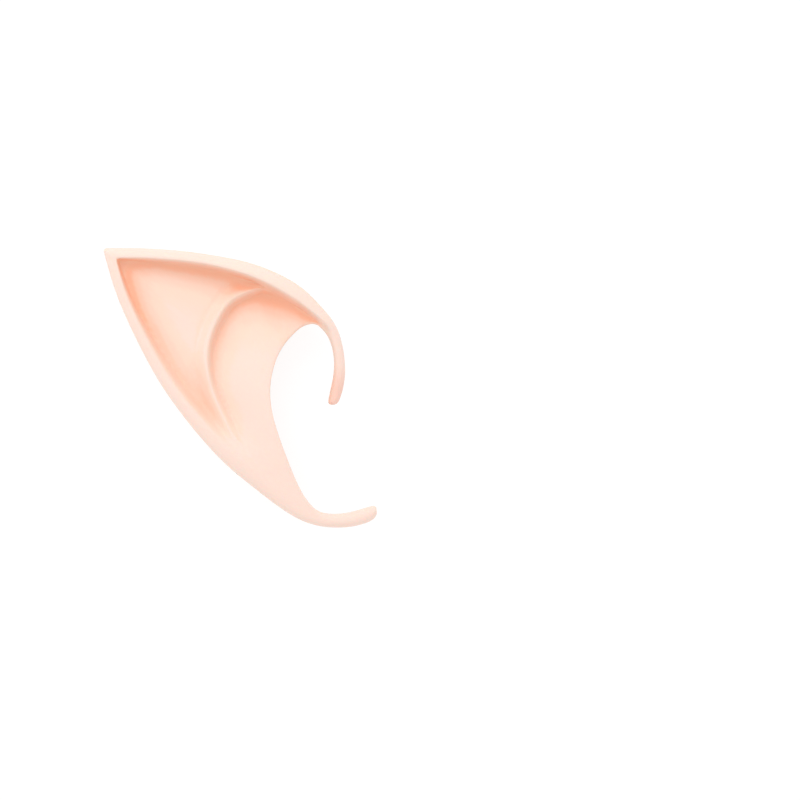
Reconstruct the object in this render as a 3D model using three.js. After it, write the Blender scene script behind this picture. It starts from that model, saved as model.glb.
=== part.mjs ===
// Elf ear tip: a pointed slip-on ear, slush cast in one piece of soft latex.
//
// It lies on its back with the carved face up. X runs from the point of the ear towards the
// wearer's face, Y runs up the ear and Z comes out of the carved face. The origin is on the
// surface that it lies on, below the middle of its outline. All lengths are in millimetres.
//
// The piece is one thin wall folded round a pocket for the wearer's own ear. It is lofted
// through sections that run in plan from the outer edge to the edge of the open notch. They
// start at the end of the upper hook, pass the point of the ear and end at the tip of the tail.
// Each section is a U: carved front, notch edge, inside of the pocket, notch edge, plain back.
// Along the hook and the tail the U closes to a solid oval.

import * as THREE from "three";

// Overall size
const EAR_WIDTH = 82;
const EAR_HEIGHT = 83.5;
const EAR_DEPTH = 18;
const POINT_ROUNDING = 2.4;

// Latex wall, its trimmed edges, and how far the back stops short of the front at the notch:
// a length, and the most that it may be of a section
const WALL = 1.6;
const EDGE_ROUNDING = 0.5;
const BACK_SETBACK = 3.5;
const MOST_SETBACK = 1 / 3;
const NARROWEST_POCKET = 1.2;

// Rolled rim along the outer edge: its roll, and the slope down to the hollow beside it. On a
// narrow section both stay within a share of the way to the notch.
const RIM_WIDTH = 3.3;
const RIM_RISE = 5.4;
const RIM_SLOPE = 2.6;
const MOST_ROLL = 0.5;
const MOST_RIM = 0.8;

// The hollow beside the rim, and the groove along the foot of the rim
const HOLLOW_DEPTH = 8;
const GROOVE_DEPTH = 2.4;
const GROOVE_WIDTH = 11;

// Fold that curves down the middle of the carved face, the valley on its outer side and the
// step on its notch side
const FOLD_HEIGHT = 1.2;
const FOLD_FLANK = 2;
const VALLEY_DEPTH = 0.4;
const VALLEY_OFFSET = 3.6;
const VALLEY_FLANK = 1.5;
const STEP_DEPTH = 3;
const STEP_WIDTH = 2.1;

// Shelf that rises to the notch edge
const SHELF_WIDTH = 24;

// Bowl of the back: how far in from the edge it comes down, and its form, from 1 for a
// straight cone up to 2 for a full round
const BOWL_WIDTH = 12.5;
const BOWL_FULLNESS = 1.7;

// How sharply the two edges' forms meet behind the point of the ear, on the face and the back
const RIM_MITRE = 10;
const BOWL_MITRE = 3;

// How far the hook and the tail round out past their last sections
const HOOK_END = 1.5;
const TAIL_END = 1.5;

// The sections in plan, from the hook to the tail. across and up place the outer edge, and
// notchAcross and notchUp the notch edge, as shares of EAR_WIDTH from the point of the ear and
// of EAR_HEIGHT from the lowest edge.
const SECTIONS = [
  { across: 0.855, up: 0.451, notchAcross: 0.817, notchUp: 0.459 },
  { across: 0.869, up: 0.489, notchAcross: 0.826, notchUp: 0.5 },
  { across: 0.879, up: 0.553, notchAcross: 0.837, notchUp: 0.556 },
  { across: 0.874, up: 0.625, notchAcross: 0.836, notchUp: 0.62 },
  { across: 0.857, up: 0.695, notchAcross: 0.819, notchUp: 0.677 },
  { across: 0.829, up: 0.746, notchAcross: 0.792, notchUp: 0.712 },
  { across: 0.784, up: 0.798, notchAcross: 0.755, notchUp: 0.727 },
  { across: 0.729, up: 0.852, notchAcross: 0.718, notchUp: 0.714 },
  { across: 0.645, up: 0.904, notchAcross: 0.684, notchUp: 0.684 },
  { across: 0.516, up: 0.952, notchAcross: 0.656, notchUp: 0.65 },
  { across: 0.323, up: 0.986, notchAcross: 0.634, notchUp: 0.611 },
  { across: 0.148, up: 1.0, notchAcross: 0.619, notchUp: 0.568 },
  { across: -0.008, up: 1.002, notchAcross: 0.61, notchUp: 0.524 },
  { across: 0.04, up: 0.843, notchAcross: 0.607, notchUp: 0.479 },
  { across: 0.112, up: 0.681, notchAcross: 0.611, notchUp: 0.434 },
  { across: 0.205, up: 0.512, notchAcross: 0.621, notchUp: 0.386 },
  { across: 0.32, up: 0.357, notchAcross: 0.64, notchUp: 0.326 },
  { across: 0.438, up: 0.229, notchAcross: 0.667, notchUp: 0.253 },
  { across: 0.552, up: 0.136, notchAcross: 0.696, notchUp: 0.181 },
  { across: 0.645, up: 0.067, notchAcross: 0.729, notchUp: 0.116 },
  { across: 0.724, up: 0.022, notchAcross: 0.773, notchUp: 0.066 },
  { across: 0.81, up: 0.0, notchAcross: 0.832, notchUp: 0.048 },
  { across: 0.9, up: 0.001, notchAcross: 0.894, notchUp: 0.054 },
  { across: 0.963, up: 0.018, notchAcross: 0.944, notchUp: 0.068 },
  { across: 0.984, up: 0.032, notchAcross: 0.972, notchUp: 0.076 },
];
const LAST = SECTIONS.length - 1;

// The section at the point of the ear is the one that reaches furthest.
const reaches = SECTIONS.map((row) => row.across);
const POINT = reaches.indexOf(Math.min(...reaches));

// The crest of the fold in plan, from the top of the notch to the root of the tail, as shares
// of the same two sizes
const FOLD_LINE = [
  { across: 0.777, up: 0.745 },
  { across: 0.753, up: 0.774 },
  { across: 0.725, up: 0.8 },
  { across: 0.695, up: 0.817 },
  { across: 0.658, up: 0.833 },
  { across: 0.622, up: 0.85 },
  { across: 0.588, up: 0.861 },
  { across: 0.544, up: 0.851 },
  { across: 0.481, up: 0.826 },
  { across: 0.44, up: 0.79 },
  { across: 0.399, up: 0.718 },
  { across: 0.377, up: 0.643 },
  { across: 0.377, up: 0.557 },
  { across: 0.399, up: 0.474 },
  { across: 0.441, up: 0.384 },
  { across: 0.505, up: 0.266 },
  { across: 0.592, up: 0.158 },
  { across: 0.676, up: 0.09 },
  { across: 0.746, up: 0.043 },
];

// The relief at some of the sections (at), with smooth curves between them. edge is the height
// of the outer edge as a share of EAR_DEPTH, and back the lowest line of the back as a share of
// that height. rise, rim and slope are the height and the width of the rim's roll and the width
// of its slope, as shares of RIM_RISE, RIM_WIDTH and RIM_SLOPE. floor and notch are how far the
// hollow beside the rim and the notch edge lie below the top of the rim, as shares of
// HOLLOW_DEPTH. groove, fold, step, shelf and bowl are shares of GROOVE_DEPTH, FOLD_HEIGHT,
// STEP_DEPTH, SHELF_WIDTH and BOWL_WIDTH. open is the depth of the pocket as a share of what
// fits: 0 along the hook and the tail, which are solid ovals.
const RELIEF = [
  { at: 0, edge: 0.52, back: 0.83, rise: 0.3, rim: 0.8, slope: 0.5, floor: 0, notch: 0,
    groove: 0, fold: 0, step: 0, shelf: 0.1, bowl: 0.1, open: 0 },
  { at: 4, edge: 0.64, back: 0.8, rise: 0.42, rim: 0.8, slope: 0.5, floor: 0, notch: 0,
    groove: 0, fold: 0, step: 0, shelf: 0.1, bowl: 0.1, open: 0 },
  { at: 5, edge: 0.67, back: 0.72, rise: 0.6, rim: 0.7, slope: 0.55, floor: 0.2, notch: 0.22,
    groove: 0, fold: 0, step: 0, shelf: 0.1, bowl: 0.15, open: 0 },
  { at: 6, edge: 0.69, back: 0.55, rise: 0.8, rim: 0.82, slope: 0.5, floor: 0.64, notch: 0.64,
    groove: 0, fold: 0, step: 0, shelf: 0.15, bowl: 0.25, open: 0.36 },
  { at: 7, edge: 0.7, back: 0.25, rise: 0.95, rim: 1.06, slope: 0.5, floor: 0.88, notch: 0.8,
    groove: 0.1, fold: 0, step: 0, shelf: 0.3, bowl: 0.42, open: 0.7 },
  { at: 8, edge: 0.7, back: 0, rise: 1, rim: 1.21, slope: 0.69, floor: 0.86, notch: 0.84,
    groove: 0.25, fold: 0.2, step: 0.45, shelf: 0.55, bowl: 0.6, open: 1 },
  { at: 9, edge: 0.69, back: 0, rise: 0.96, rim: 1.12, slope: 0.56, floor: 0.78, notch: 0.68,
    groove: 0.4, fold: 1, step: 1, shelf: 0.75, bowl: 0.72, open: 1 },
  { at: 10, edge: 0.65, back: 0, rise: 0.84, rim: 0.88, slope: 0.58, floor: 0.7, notch: 0.45,
    groove: 0.5, fold: 1, step: 1, shelf: 0.95, bowl: 0.78, open: 1 },
  { at: 11, edge: 0.6, back: 0, rise: 0.72, rim: 0.88, slope: 0.5, floor: 0.54, notch: 0.18,
    groove: 0.5, fold: 1, step: 0.95, shelf: 1, bowl: 0.8, open: 1 },
  { at: 12, edge: 0.54, back: 0, rise: 0.6, rim: 0.92, slope: 0.35, floor: 0.34, notch: -0.08,
    groove: 0.6, fold: 1, step: 0.9, shelf: 1, bowl: 0.78, open: 1 },
  { at: 13, edge: 0.55, back: 0, rise: 0.58, rim: 0.88, slope: 0.5, floor: 0.32, notch: -0.1,
    groove: 0.9, fold: 1, step: 0.85, shelf: 1, bowl: 0.73, open: 1 },
  { at: 15, edge: 0.57, back: 0, rise: 0.56, rim: 0.97, slope: 1.1, floor: 0.24, notch: -0.06,
    groove: 1, fold: 0.9, step: 0.7, shelf: 0.8, bowl: 0.95, open: 1 },
  { at: 17, edge: 0.54, back: 0, rise: 0.5, rim: 1.18, slope: 1, floor: 0.02, notch: -0.03,
    groove: 0.1, fold: 0.1, step: 0, shelf: 0.5, bowl: 0.65, open: 1 },
  { at: 19, edge: 0.48, back: 0.2, rise: 0.45, rim: 1, slope: 0.8, floor: 0, notch: 0,
    groove: 0, fold: 0, step: 0, shelf: 0.2, bowl: 0.3, open: 0.5 },
  { at: 21, edge: 0.44, back: 0.7, rise: 0.38, rim: 0.8, slope: 0.5, floor: 0, notch: 0,
    groove: 0, fold: 0, step: 0, shelf: 0.1, bowl: 0.1, open: 0 },
  { at: 24, edge: 0.4, back: 0.72, rise: 0.36, rim: 0.8, slope: 0.5, floor: 0, notch: 0,
    groove: 0, fold: 0, step: 0, shelf: 0.1, bowl: 0.1, open: 0 },
];

// How finely the loft is divided along the ear, and the points round one section. They follow
// the crest of the fold where it is raised, and keep to a fixed place where there is no fold.
const STATION_SPACING = 3;
const FEWEST_STEPS = 2;
const OPENING_STEPS = 8;
const CAP_RINGS = 3;
const RIM_STEPS = 4;
const SLOPE_STEPS = 4;
const FLOOR_STEPS = 2;
const FLANK_STEPS = 5;
const DROP_STEPS = 3;
const SHELF_STEPS = 3;
const POCKET_ROOF_STEPS = 4;
const POCKET_BACK_STEPS = 7;
const BACK_STEPS = 10;
const LINE_SAMPLES = 12;
const SEARCH_STEPS = 24;
const SCAN_STEPS = 40;
const PARTED_AT = 0.35;
const RAISED_AT = 0.3;
const UNFOLDED_AT = 0.3;
const FOLD_FROM = 0.04;
const FOLD_TO = 0.7;
const FLANK_FROM = 0.4;
const DROP_REACH = 1.2;
const DROP_TO = 0.5;
const ROOF_REACH = 0.9;
const BED_CROWDING = 1.5;
const BALL_RINGS = 4;
const BALL_SPOKES = 12;

const mix = THREE.MathUtils.lerp;
const clamp = THREE.MathUtils.clamp;
const ease = (t) => THREE.MathUtils.smoothstep(t, 0, 1);
const bell = (t) => Math.exp(-(t ** 2));
const roundOff = (t) => Math.sqrt(1 - (1 - clamp(t, 0, 1)) ** 2);
const divide = (count, from, to) =>
  Array.from({ length: count }, (_, i) => mix(from, to, (i + 1) / count));

// A smooth curve through one column of the relief table, which never overshoots its rows
function columnCurve(column) {
  const places = RELIEF.map((row) => row.at);
  const values = RELIEF.map((row) => row[column]);
  const rates = places.slice(1).map((place, i) => (values[i + 1] - values[i]) / (place - places[i]));
  const slopes = values.map((_, i) => {
    if (i === 0 || i === rates.length || rates[i - 1] * rates[i] <= 0) return 0;
    return (2 * rates[i - 1] * rates[i]) / (rates[i - 1] + rates[i]);
  });
  return (at) => {
    const row = clamp(places.findLastIndex((place) => place <= at), 0, rates.length - 1);
    const span = places[row + 1] - places[row];
    const t = (at - places[row]) / span;
    const leaving = slopes[row] * (t - 2 * t ** 2 + t ** 3);
    const arriving = slopes[row + 1] * (t ** 3 - t ** 2);
    return mix(values[row], values[row + 1], ease(t)) + span * (leaving + arriving);
  };
}

const reliefColumns = Object.keys(RELIEF[0]).filter((column) => column !== "at");
const reliefCurves = reliefColumns.map((column) => [column, columnCurve(column)]);

// The two edges in plan. The outer edge is two curves that meet at the point of the ear.
const planPoint = (across, up) => new THREE.Vector2(EAR_WIDTH * across, EAR_HEIGHT * up);
const outerPoints = SECTIONS.map((row) => planPoint(row.across, row.up));
const notchPoints = SECTIONS.map((row) => planPoint(row.notchAcross, row.notchUp));
const upperEdge = new THREE.SplineCurve(outerPoints.slice(0, POINT + 1));
const rearEdge = new THREE.SplineCurve(outerPoints.slice(POINT));
const notchEdge = new THREE.SplineCurve(notchPoints);

function sharpOuterEdge(at) {
  if (at <= POINT) return upperEdge.getPoint(at / POINT);
  return rearEdge.getPoint((at - POINT) / (LAST - POINT));
}

// The rounding at the point of the ear takes up a little of the section on each side.
const upperReach = POINT_ROUNDING / outerPoints[POINT].distanceTo(outerPoints[POINT - 1]);
const rearReach = POINT_ROUNDING / outerPoints[POINT].distanceTo(outerPoints[POINT + 1]);
const pointRounding = new THREE.QuadraticBezierCurve(
  sharpOuterEdge(POINT - upperReach),
  outerPoints[POINT],
  sharpOuterEdge(POINT + rearReach),
);

function outerEdge(at) {
  const t = (at - POINT) / (at < POINT ? upperReach : rearReach);
  if (Math.abs(t) >= 1) return sharpOuterEdge(at);
  return pointRounding.getPoint((1 + t) / 2);
}

// The edges and the fold as rows of short straight lines, to measure distances from
const lineOf = (from, to, pointAt) =>
  Array.from({ length: (to - from) * LINE_SAMPLES + 1 }, (_, i) => pointAt(from + i / LINE_SAMPLES));
const foldCurve = new THREE.SplineCurve(FOLD_LINE.map((row) => planPoint(row.across, row.up)));
const foldSpans = FOLD_LINE.length - 1;
const upperLine = lineOf(0, POINT, outerEdge);
const rearLine = lineOf(POINT, LAST, outerEdge);
const notchLine = lineOf(0, LAST, (at) => notchEdge.getPoint(at / LAST));
const foldLine = lineOf(0, foldSpans, (at) => foldCurve.getPoint(at / foldSpans));

// Distance in plan from a line to a point, positive on the left of the line's direction
function distanceFrom(line, point) {
  let nearest = Infinity;
  let side = 0;
  for (let i = 1; i < line.length; i++) {
    const start = line[i - 1];
    const alongX = line[i].x - start.x;
    const alongY = line[i].y - start.y;
    const fromX = point.x - start.x;
    const fromY = point.y - start.y;
    const t = clamp((fromX * alongX + fromY * alongY) / (alongX ** 2 + alongY ** 2), 0, 1);
    const squared = (fromX - t * alongX) ** 2 + (fromY - t * alongY) ** 2;
    if (squared < nearest) {
      nearest = squared;
      side = Math.sign(alongX * fromY - alongY * fromX);
    }
  }
  return side * Math.sqrt(nearest);
}

// Distance in plan to the outer edge, with the contours round the point of the ear mitred
function distanceToEdge(point, mitre) {
  const upper = Math.abs(distanceFrom(upperLine, point));
  const rear = Math.abs(distanceFrom(rearLine, point));
  const nearest = Math.min(upper, rear);
  if (nearest === 0) return 0;
  return nearest / ((nearest / upper) ** mitre + (nearest / rear) ** mitre) ** (1 / mitre);
}

const planAt = (section, share) => section.outer.clone().lerp(section.notch, share);

// The share of a section at which a distance, which grows along it, reaches a given value
function shareAt(section, distance, value) {
  let low = 0;
  let high = 1;
  for (let i = 0; i < SEARCH_STEPS; i++) {
    const middle = (low + high) / 2;
    if (distance(planAt(section, middle)) < value) low = middle;
    else high = middle;
  }
  return high;
}

const rimDistance = (point) => distanceToEdge(point, RIM_MITRE);
const foldDistance = (point) => distanceFrom(foldLine, point);

// How far the pocket's walls are parted: 0 in a closed oval, 1 in an open section
const openAt = columnCurve("open");
const partedAt = (at) => Math.min(1, openAt(at) / PARTED_AT);

// One section: its line in plan, from the outer edge (share 0) to the notch edge (share 1), and
// its relief in millimetres
function sectionAt(at) {
  const outer = outerEdge(at);
  const notch = notchEdge.getPoint(at / LAST);
  const relief = Object.fromEntries(reliefCurves.map(([column, curve]) => [column, curve(at)]));
  const parted = partedAt(at);
  const edge = EAR_DEPTH * relief.edge;
  const rimTop = edge + RIM_RISE * relief.rise;
  const length = outer.distanceTo(notch);
  const reach = rimDistance(notch);
  const crest = Math.min(RIM_WIDTH * relief.rim, reach * MOST_ROLL);
  const setback = Math.min(BACK_SETBACK, length * MOST_SETBACK);
  const section = {
    outer,
    notch,
    length,
    parted,
    depth: relief.open,
    edge,
    rimTop,
    floor: rimTop - HOLLOW_DEPTH * relief.floor,
    notchHeight: rimTop - HOLLOW_DEPTH * relief.notch,
    back: edge * relief.back,
    groove: GROOVE_DEPTH * relief.groove,
    fold: FOLD_HEIGHT * relief.fold,
    step: STEP_DEPTH * relief.step,
    shelf: SHELF_WIDTH * relief.shelf,
    bowl: mix(length / 2, BOWL_WIDTH * relief.bowl, parted),
    crest,
    foot: Math.min(crest + RIM_SLOPE * relief.slope, reach * MOST_RIM),
    lip: mix(length / 2, EDGE_ROUNDING, parted),
    setback,
  };
  section.footShare = shareAt(section, rimDistance, section.foot);
  section.frontLip = mix(edge, section.notchHeight - WALL / 2, parted);
  section.backLip = mix(edge, section.back + WALL / 2, parted);
  return section;
}

// Height of the carved face past the rim: the hollow, the fold and its step, and the shelf
function floorHeight(section, point) {
  const fromNotch = Math.abs(distanceFrom(notchLine, point));
  const pastFold = foldDistance(point);
  const drop = ease(pastFold / STEP_WIDTH);
  const crest = pastFold < 0 ? bell(pastFold / FOLD_FLANK) : 1 - drop;
  const valley = bell((pastFold + VALLEY_OFFSET) / VALLEY_FLANK) * VALLEY_DEPTH;
  const shelf = 1 - ease(fromNotch / section.shelf);
  const groove = section.groove * (1 - ease((rimDistance(point) - section.foot) / GROOVE_WIDTH));
  const plain = mix(section.floor, section.notchHeight, shelf) - groove * (1 - shelf);
  const folded = section.fold * (crest - valley);
  return plain + folded - section.step * drop * (1 - shelf ** 2);
}

// Height of the carved face at a point in plan, before its notch edge is rounded
function faceHeight(section, point) {
  const distance = rimDistance(point);
  if (distance < section.crest) {
    return mix(section.edge, section.rimTop, roundOff(distance / section.crest));
  }
  const down = ease((distance - section.crest) / (section.foot - section.crest));
  return mix(section.rimTop, floorHeight(section, point), down);
}

// Height of the plain back, before its notch edge is rounded: a bowl that comes down from the
// outer edge to its lowest line
function bowlHeight(section, point) {
  const t = 1 - Math.min(1, distanceToEdge(point, BOWL_MITRE) / section.bowl);
  return mix(section.edge, section.back, (1 - t ** BOWL_FULLNESS) ** (1 / BOWL_FULLNESS));
}

function frontHeight(section, share) {
  if (share <= 0) return section.edge;
  const rounded = roundOff(((1 - share) * section.length) / section.lip);
  return mix(section.frontLip, faceHeight(section, planAt(section, share)), rounded);
}

function backHeight(section, share) {
  const rounded = roundOff(((1 - share) * section.length - section.setback * section.parted) / section.lip);
  return mix(section.backLip, bowlHeight(section, planAt(section, share)), rounded);
}

// The inside of a wall is what a ball as big as the wall is thick leaves as it rolls along the
// outside: spots on the lower half of that ball, each with its depth below the ball's middle.
const ballSpots = [{ spot: new THREE.Vector2(), depth: WALL }];
for (const angle of divide(BALL_RINGS, 0, Math.PI / 2)) {
  for (const turn of divide(BALL_SPOKES, 0, 2 * Math.PI)) {
    const radius = WALL * Math.sin(angle);
    const spot = new THREE.Vector2(radius * Math.cos(turn), radius * Math.sin(turn));
    ballSpots.push({ spot, depth: WALL * Math.cos(angle) });
  }
}

function roofHeight(section, share) {
  const middle = planAt(section, share);
  const heights = ballSpots.map(({ spot, depth }) => {
    return faceHeight(section, middle.clone().add(spot)) - depth;
  });
  return Math.min(...heights);
}

function bedHeight(section, share) {
  const middle = planAt(section, share);
  const heights = ballSpots.map(({ spot, depth }) => {
    return bowlHeight(section, middle.clone().add(spot)) + depth;
  });
  return Math.max(...heights);
}

// The shares of the points along the carved face, close together where it bends
function frontShares(section) {
  const end = 1 - EDGE_ROUNDING / section.length;
  const rim = divide(RIM_STEPS, 0, Math.PI / 2).map((a) => section.crest * (1 - Math.cos(a)));
  const slope = divide(SLOPE_STEPS, section.crest, section.foot);
  const floorAt = (t) => mix(section.footShare, end, t);
  const raised = Math.min(1, section.step / STEP_DEPTH / RAISED_AT);
  const crossed = clamp(shareAt(section, foldDistance, 0), floorAt(FOLD_FROM), floorAt(FOLD_TO));
  const fold = mix(floorAt(UNFOLDED_AT), crossed, raised);
  const flankWidth = (VALLEY_OFFSET + VALLEY_FLANK) / section.length;
  const flank = Math.max(fold - flankWidth, mix(section.footShare, fold, FLANK_FROM));
  const dropWidth = (DROP_REACH * STEP_WIDTH) / section.length;
  const drop = Math.min(fold + dropWidth, mix(fold, end, DROP_TO));
  return [
    0,
    ...[...rim, ...slope].map((distance) => shareAt(section, rimDistance, distance)),
    ...divide(FLOOR_STEPS, section.footShare, flank),
    ...divide(FLANK_STEPS, flank, fold),
    ...divide(DROP_STEPS, fold, drop),
    ...divide(SHELF_STEPS, drop, end),
  ];
}

// Where the points of a closed oval lie round it: the carved face takes the first part, the
// place of the pocket is folded away on the notch side, and the back takes the rest.
const OVAL_FRONT = Math.PI * 0.85;
const ovalShare = (angle) => (1 - Math.cos(angle)) / 2;

// The points of the pocket in a section: the notch edge of the front, the roof as far as the
// pocket goes, its round end, the bed back to the mouth and the notch edge of the back
function pocketPoints(section, shares) {
  const rounding = EDGE_ROUNDING / section.length;
  const top = 1 - rounding;
  const mouth = 1 - section.setback / section.length;
  const roof = (share) => roofHeight(section, share);
  const bed = (share) => bedHeight(section, share);
  const scan = [mouth - 2 * rounding, ...divide(SCAN_STEPS, mouth - 2 * rounding, 0)];
  const tooNarrow = scan.findIndex((share) => roof(share) - bed(share) < NARROWEST_POCKET);
  const end = mix(scan[0], scan[Math.max(0, tooNarrow - 1)], section.depth);
  const roofScale = Math.min(1, (ROOF_REACH * (top - end)) / (top - section.footShare));
  const roofShares = shares.slice(RIM_STEPS + SLOPE_STEPS).reverse();
  const roofLine = roofShares.map((share) => top - (top - share) * roofScale);
  roofLine.push(...divide(POCKET_ROOF_STEPS, roofLine.at(-1), end));
  const bedLine = divide(POCKET_BACK_STEPS, 0, 1).map((t) => mix(end, mouth - rounding, t ** BED_CROWDING));
  return [
    [1, section.notchHeight - WALL / 2],
    ...roofLine.map((share) => [share, roof(share)]),
    [end - NARROWEST_POCKET / 2 / section.length, (roof(end) + bed(end)) / 2],
    ...bedLine.map((share) => [share, bed(share)]),
    [mouth, section.back + WALL / 2],
  ];
}

// One section as a closed loop of points, from the outer edge over the front and back again
function sectionLoop(at) {
  const section = sectionAt(at);
  const blend = (closed, open) => mix(closed, open, section.parted);

  const faceShares = frontShares(section);
  const front = faceShares.map((share, i) => {
    const closed = ovalShare((OVAL_FRONT * i) / (faceShares.length - 1));
    return blend(closed, share);
  });
  const pocket = pocketPoints(section, faceShares).map(([share, height], i, all) => {
    const angle = mix(OVAL_FRONT, 2 * Math.PI - OVAL_FRONT, (i + 1) / (all.length + 1));
    const surface = angle < Math.PI ? frontHeight : backHeight;
    const closed = ovalShare(angle);
    return [blend(closed, share), blend(surface(section, closed), height)];
  });
  const mouth = 1 - (section.setback + EDGE_ROUNDING) / section.length;
  const back = divide(BACK_STEPS, 0, 1).map((t) => {
    return blend(ovalShare(OVAL_FRONT * t), mouth * (1 - Math.cos((t * Math.PI) / 2)));
  });

  const profile = [
    ...front.map((share) => [share, frontHeight(section, share)]),
    ...pocket,
    ...back.reverse().map((share) => [share, backHeight(section, share)]),
  ];
  return profile.map(([share, height]) => {
    const plan = planAt(section, share);
    return new THREE.Vector3(plan.x, plan.y, height);
  });
}

// The stations of the loft, with extra ones through the rounding at the point of the ear
function stationPlaces() {
  const breaks = [...SECTIONS.keys(), POINT - upperReach, POINT + rearReach].sort((a, b) => a - b);
  const places = [0];
  for (let i = 1; i < breaks.length; i++) {
    const distance = outerEdge(breaks[i]).distanceTo(outerEdge(breaks[i - 1]));
    const opened = Math.abs(partedAt(breaks[i]) - partedAt(breaks[i - 1]));
    const count = Math.max(
      FEWEST_STEPS,
      Math.round(distance / STATION_SPACING),
      Math.round(OPENING_STEPS * opened),
    );
    places.push(...divide(count, breaks[i - 1], breaks[i]));
  }
  return places;
}

const middleOf = (loop) =>
  loop.reduce((sum, point) => sum.add(point), new THREE.Vector3()).divideScalar(loop.length);

// The rings that round off an end of the strip, from its last loop outwards, and their pole
function roundedEnd(loop, nextLoop, reach) {
  const middle = middleOf(loop);
  const outward = middle.clone().sub(middleOf(nextLoop)).normalize();
  const rings = [];
  for (let i = 1; i < CAP_RINGS; i++) {
    const angle = (i / CAP_RINGS) * (Math.PI / 2);
    const shift = outward.clone().multiplyScalar(reach * Math.sin(angle));
    rings.push(loop.map((point) => middle.clone().lerp(point, Math.cos(angle)).add(shift)));
  }
  return { rings, pole: middle.clone().addScaledVector(outward, reach) };
}

function earGeometry() {
  const loops = stationPlaces().map(sectionLoop);
  const hookEnd = roundedEnd(loops[0], loops[1], HOOK_END);
  const tailEnd = roundedEnd(loops.at(-1), loops.at(-2), TAIL_END);
  const rings = [...hookEnd.rings.reverse(), ...loops, ...tailEnd.rings];
  const round = rings[0].length;
  const vertices = [...rings.flat(), hookEnd.pole, tailEnd.pole];
  const hookPole = vertices.length - 2;
  const tailPole = vertices.length - 1;
  const faces = [];
  for (let j = 0; j < round; j++) {
    const next = (j + 1) % round;
    const lastRing = (rings.length - 1) * round;
    faces.push(hookPole, j, next);
    faces.push(tailPole, lastRing + next, lastRing + j);
    for (let i = 0; i < rings.length - 1; i++) {
      const a = i * round + j;
      const b = i * round + next;
      const c = a + round;
      const d = b + round;
      if (vertices[a].distanceTo(vertices[d]) < vertices[b].distanceTo(vertices[c])) {
        faces.push(a, c, d, a, d, b);
      } else {
        faces.push(a, c, b, b, c, d);
      }
    }
  }
  const geometry = new THREE.BufferGeometry().setFromPoints(vertices);
  geometry.setIndex(faces);
  geometry.computeBoundingBox();
  const box = geometry.boundingBox;
  geometry.translate(-(box.min.x + box.max.x) / 2, -(box.min.y + box.max.y) / 2, -box.min.z);
  geometry.computeVertexNormals();
  return geometry;
}

const latex = new THREE.MeshStandardMaterial({ color: "#fbdccb", roughness: 0.55, metalness: 0 });
const earTip = new THREE.Mesh(earGeometry(), latex);
earTip.name = "ear_tip";

const part = new THREE.Group();
part.add(earTip);
export default part;
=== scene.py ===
import math

import bpy
import bmesh
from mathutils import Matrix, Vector
from mathutils.bvhtree import BVHTree


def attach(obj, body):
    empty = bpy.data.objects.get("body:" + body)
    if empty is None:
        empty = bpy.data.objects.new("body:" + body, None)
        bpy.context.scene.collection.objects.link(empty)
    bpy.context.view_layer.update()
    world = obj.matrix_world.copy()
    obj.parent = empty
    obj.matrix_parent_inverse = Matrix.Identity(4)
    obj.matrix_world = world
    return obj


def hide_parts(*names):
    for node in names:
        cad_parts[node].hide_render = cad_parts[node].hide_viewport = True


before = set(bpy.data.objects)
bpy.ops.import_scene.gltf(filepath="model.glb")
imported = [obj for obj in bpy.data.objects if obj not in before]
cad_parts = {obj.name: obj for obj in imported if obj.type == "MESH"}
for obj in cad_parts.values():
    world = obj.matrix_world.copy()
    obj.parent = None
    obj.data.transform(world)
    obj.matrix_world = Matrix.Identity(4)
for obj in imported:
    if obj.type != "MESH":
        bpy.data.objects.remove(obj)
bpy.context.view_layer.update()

# Ear tip.
# A slip-on costume ear, slush cast in one piece of soft latex about 1.6 mm thick: rolled rim,
# inner fold, pocket, upper hook and lower tail are one wall. It lies on its back.
SMOOTHING_LEVELS = 2
MERGE_DISTANCE = 2e-6

bpy.ops.object.select_all(action="DESELECT")
ear = bpy.data.objects.new("ear_latex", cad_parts["ear_tip"].data.copy())
bpy.context.scene.collection.objects.link(ear)
bpy.context.view_layer.objects.active = ear
ear.select_set(True)
ear.data.materials.clear()

bpy.ops.object.mode_set(mode="EDIT")
bpy.ops.mesh.select_all(action="SELECT")
bpy.ops.mesh.remove_doubles(threshold=MERGE_DISTANCE)
bpy.ops.mesh.tris_convert_to_quads(face_threshold=math.pi, shape_threshold=math.pi)
bpy.ops.object.mode_set(mode="OBJECT")

rounding = ear.modifiers.new("rounding", "SUBSURF")
rounding.levels = SMOOTHING_LEVELS
rounding.render_levels = SMOOTHING_LEVELS
bpy.ops.object.modifier_apply(modifier="rounding")
bpy.ops.object.shade_smooth()

# Painted shade for the hollows. Each point looks out through a dome of rays that leans half
# way from its own normal to straight up, and keeps how much of the dome the ear itself shuts
# off, and how nearby, as a point attribute that the latex turns into painted shade.
DOME_RINGS = 5
DOME_SPOKES = 14
REACH = 0.04
LIFT = 0.00015
UP = Vector((0, 0, 1))


def dome_rays():
    rays = []
    for ring in range(DOME_RINGS):
        sine = math.sqrt((ring + 0.5) / DOME_RINGS)
        rise = math.sqrt(1 - sine**2)
        for spoke in range(DOME_SPOKES):
            turn = 2 * math.pi * (spoke + ring / DOME_RINGS) / DOME_SPOKES
            rays.append(Vector((sine * math.cos(turn), sine * math.sin(turn), rise)))
    return rays


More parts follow.
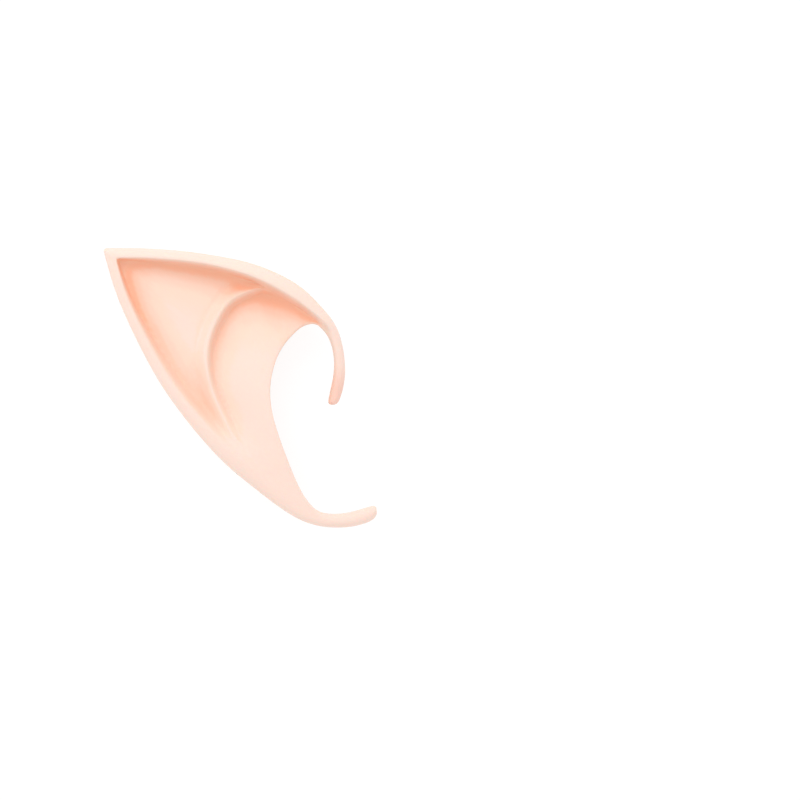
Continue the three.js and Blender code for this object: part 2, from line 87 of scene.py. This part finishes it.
def paint_shade_in_hollows(mesh):
    wall = bmesh.new()
    wall.from_mesh(mesh)
    tree = BVHTree.FromBMesh(wall)
    rays = dome_rays()
    shares = []
    for vertex in wall.verts:
        start = vertex.co + vertex.normal * LIFT
        turned = (vertex.normal + UP).to_track_quat("Z", "Y")
        shut = 0.0
        for ray in rays:
            distance = tree.ray_cast(start, turned @ ray, REACH)[3]
            if distance is not None:
                shut += 1 - distance / REACH
        shares.append(shut / len(rays))
    mesh.attributes.new("painted_shade", "FLOAT", "POINT").data.foreach_set("value", shares)
    wall.free()


paint_shade_in_hollows(ear.data)


def linear(code):
    channels = [int(code[i : i + 2], 16) / 255 for i in (1, 3, 5)]
    light = [c / 12.92 if c <= 0.04045 else ((c + 0.055) / 1.055) ** 2.4 for c in channels]
    return light + [1.0]


def add_node(tree, kind, settings=None, inputs=None, links=None):
    node = tree.nodes.new(kind)
    for name, value in (settings or {}).items():
        setattr(node, name, value)
    for name, value in (inputs or {}).items():
        node.inputs[name].default_value = value
    for name, source in (links or {}).items():
        tree.links.new(source, node.inputs[name])
    return node


# Cast latex: pale peach and matte, with a faint silky gloss. Shade is painted into the hollows
# as a warmer colour, step by step, the more shut in they are. The last step is a little paler
# again, as painted bounce light, for light that bounces between close walls warms them too. A
# tint is rubbed on the end of the hook, and lies in faint patches elsewhere. The skin has the
# pores and the slight unevenness of the mould. Real pores are about 0.3 mm wide, and they are
# drawn wider to show.
SHADE_TINTS = [
    (0.0, "#f7ddd0"),
    (0.045, "#f7dbc9"),
    (0.1, "#f9d6c4"),
    (0.18, "#fbceb8"),
    (0.28, "#fdc0a1"),
    (0.4, "#feccb0"),
]
RUBBED = "#fdebe6"
HOOK_END = (0.0275, -0.004, 0.0095)
RUBBED_NEAR = 0.003
RUBBED_FAR = 0.013
PATCH_SIZE = 0.018
PATCH_SHARE = 0.15
UNEVEN_SIZE = 0.006
UNEVEN_HEIGHT = 0.00012
PORE_SIZE = 0.0008
PORE_HEIGHT = 0.00002
BROAD_DETAIL = 2.0
FINE_DETAIL = 1.0
ROUGHNESS = (0.43, 0.55)
LATEX_IOR = 1.5
GLOSS_LEVEL = 0.3
GLOW_SHARE = 0.15
GLOW_DEPTH = 0.0015
GLOW_SPREAD = (1.0, 0.45, 0.3)

latex = bpy.data.materials.new("cast_latex")
latex.use_nodes = True
tree = latex.node_tree
tree.nodes.clear()
place = add_node(tree, "ShaderNodeTexCoord").outputs["Object"]
painted_shade = add_node(tree, "ShaderNodeAttribute", {"attribute_name": "painted_shade"}).outputs["Fac"]
deepest = SHADE_TINTS[-1][0]
depth = add_node(
    tree, "ShaderNodeMath", {"operation": "DIVIDE"}, inputs={1: deepest}, links={0: painted_shade}
)
# The ramp is painted shade: the more the ear shuts a point in, the warmer its colour.
shade_ramp = add_node(tree, "ShaderNodeValToRGB", links={"Fac": depth.outputs[0]})
shade_ramp.color_ramp.interpolation = "EASE"
while len(shade_ramp.color_ramp.elements) < len(SHADE_TINTS):
    shade_ramp.color_ramp.elements.new(1.0)
for element, (shut, code) in zip(shade_ramp.color_ramp.elements, SHADE_TINTS):
    element.position = shut / deepest
    element.color = linear(code)

from_hook = add_node(
    tree,
    "ShaderNodeVectorMath",
    {"operation": "DISTANCE"},
    inputs={1: HOOK_END},
    links={0: place},
)
on_hook = add_node(
    tree,
    "ShaderNodeMapRange",
    {"interpolation_type": "SMOOTHSTEP"},
    inputs={"From Min": RUBBED_FAR, "From Max": RUBBED_NEAR},
    links={"Value": from_hook.outputs["Value"]},
)
patches = add_node(
    tree,
    "ShaderNodeTexNoise",
    inputs={"Scale": 1 / PATCH_SIZE, "Detail": BROAD_DETAIL},
    links={"Vector": place},
)
rubbed = add_node(
    tree,
    "ShaderNodeMath",
    {"operation": "MULTIPLY_ADD", "use_clamp": True},
    inputs={1: PATCH_SHARE},
    links={0: patches.outputs["Fac"], 2: on_hook.outputs["Result"]},
)
# The rubbed tint and its patches are laid over the painted shade.
# Inputs 6 and 7 of a mix of colours are its two colours, and output 2 is the mixed one.
skin = add_node(
    tree,
    "ShaderNodeMix",
    {"data_type": "RGBA", "blend_type": "MULTIPLY"},
    inputs={7: linear(RUBBED)},
    links={0: rubbed.outputs[0], 6: shade_ramp.outputs["Color"]},
)

uneven = add_node(
    tree,
    "ShaderNodeTexNoise",
    inputs={"Scale": 1 / UNEVEN_SIZE, "Detail": BROAD_DETAIL},
    links={"Vector": place},
)
pores = add_node(
    tree,
    "ShaderNodeTexNoise",
    inputs={"Scale": 1 / PORE_SIZE, "Detail": FINE_DETAIL},
    links={"Vector": place},
)
gloss = add_node(
    tree,
    "ShaderNodeMapRange",
    inputs={"To Min": ROUGHNESS[0], "To Max": ROUGHNESS[1]},
    links={"Value": uneven.outputs["Fac"]},
)
wavy = add_node(
    tree,
    "ShaderNodeBump",
    inputs={"Distance": UNEVEN_HEIGHT},
    links={"Height": uneven.outputs["Fac"]},
)
pored = add_node(
    tree,
    "ShaderNodeBump",
    inputs={"Distance": PORE_HEIGHT},
    links={"Height": pores.outputs["Fac"], "Normal": wavy.outputs["Normal"]},
)
shader = add_node(
    tree,
    "ShaderNodeBsdfPrincipled",
    inputs={
        "IOR": LATEX_IOR,
        "Specular IOR Level": GLOSS_LEVEL,
        "Subsurface Weight": GLOW_SHARE,
        "Subsurface Scale": GLOW_DEPTH,
        "Subsurface Radius": GLOW_SPREAD,
    },
    links={
        "Base Color": skin.outputs[2],
        "Roughness": gloss.outputs["Result"],
        "Normal": pored.outputs["Normal"],
    },
)
add_node(tree, "ShaderNodeOutputMaterial", links={"Surface": shader.outputs["BSDF"]})
ear.data.materials.append(latex)

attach(ear, "root")
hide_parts("ear_tip")

# Table.
# A sheet of opal acrylic on a light table, just under the ear. It is matte and lit from below
# until it is pure white, as the photograph's ground is, so that hardly a shadow shows on it.
SHEET_SIZE = 6
SHEET_GAP = 0.0002
SHEET_GREY = "#707070"
SHEET_ROUGHNESS = 0.9
SHEET_GLOW = 0.86

bpy.ops.mesh.primitive_plane_add(size=SHEET_SIZE, location=(0, 0, -SHEET_GAP))
table = bpy.context.object
table.name = "table"
acrylic = bpy.data.materials.new("opal_acrylic")
acrylic.use_nodes = True
sheet = acrylic.node_tree.nodes["Principled BSDF"].inputs
sheet["Base Color"].default_value = linear(SHEET_GREY)
sheet["Roughness"].default_value = SHEET_ROUGHNESS
sheet["Emission Color"].default_value = linear("#ffffff")
sheet["Emission Strength"].default_value = SHEET_GLOW
table.data.materials.append(acrylic)

# Light.
# Even white light from all round, as in a light tent, and one large soft lamp beyond the upper
# left of the ear, which brings out its relief.
TENT_STRENGTH = 0.93
LAMP_SIZE = (1.2, 0.8)
LAMP_POWER = 6.0
LAMP_PLACE = (-0.4, 0.95, 0.95)

world = bpy.data.worlds.new("studio")
world.use_nodes = True
world.node_tree.nodes["Background"].inputs["Color"].default_value = linear("#ffffff")
world.node_tree.nodes["Background"].inputs["Strength"].default_value = TENT_STRENGTH
bpy.context.scene.world = world

lamp = bpy.data.lights.new("window", "AREA")
lamp.shape = "RECTANGLE"
lamp.size, lamp.size_y = LAMP_SIZE
lamp.energy = LAMP_POWER
window = bpy.data.objects.new("window", lamp)
bpy.context.scene.collection.objects.link(window)
window.location = LAMP_PLACE
to_ear = Vector((0, 0, 0)) - window.location
window.rotation_euler = to_ear.to_track_quat("-Z", "Y").to_euler()

# Camera.
# Straight above, as in the photograph, and framed so that the ear lies where it does there.
# The two pixels are the ear's left and lower edges in the photograph, and EAR_MIDDLE_MM is how
# far right of the one and above the other the ear's middle lies.
MM_PER_METRE = 1000
MM_PER_PIXEL = 0.3
FRAME_PIXELS = 800
EAR_LEFT_PIXEL = 104
EAR_LOW_PIXEL = 527
EAR_MIDDLE_MM = (41, 41.75)
CAMERA_HEIGHT = 3.0
CAMERA_REACH = 20
SENSOR_MM = 36.0

middle_across = EAR_LEFT_PIXEL + EAR_MIDDLE_MM[0] / MM_PER_PIXEL
middle_down = EAR_LOW_PIXEL - EAR_MIDDLE_MM[1] / MM_PER_PIXEL
field = FRAME_PIXELS * MM_PER_PIXEL / MM_PER_METRE

eye = bpy.data.cameras.new("camera")
eye.sensor_width = SENSOR_MM
eye.lens = SENSOR_MM * CAMERA_HEIGHT / field
eye.clip_end = CAMERA_REACH
camera = bpy.data.objects.new("camera", eye)
bpy.context.scene.collection.objects.link(camera)
camera.location = (
    (FRAME_PIXELS / 2 - middle_across) * MM_PER_PIXEL / MM_PER_METRE,
    (middle_down - FRAME_PIXELS / 2) * MM_PER_PIXEL / MM_PER_METRE,
    CAMERA_HEIGHT,
)
bpy.context.scene.camera = camera
bpy.context.scene.view_settings.view_transform = "Standard"

bpy.context.view_layer.update()
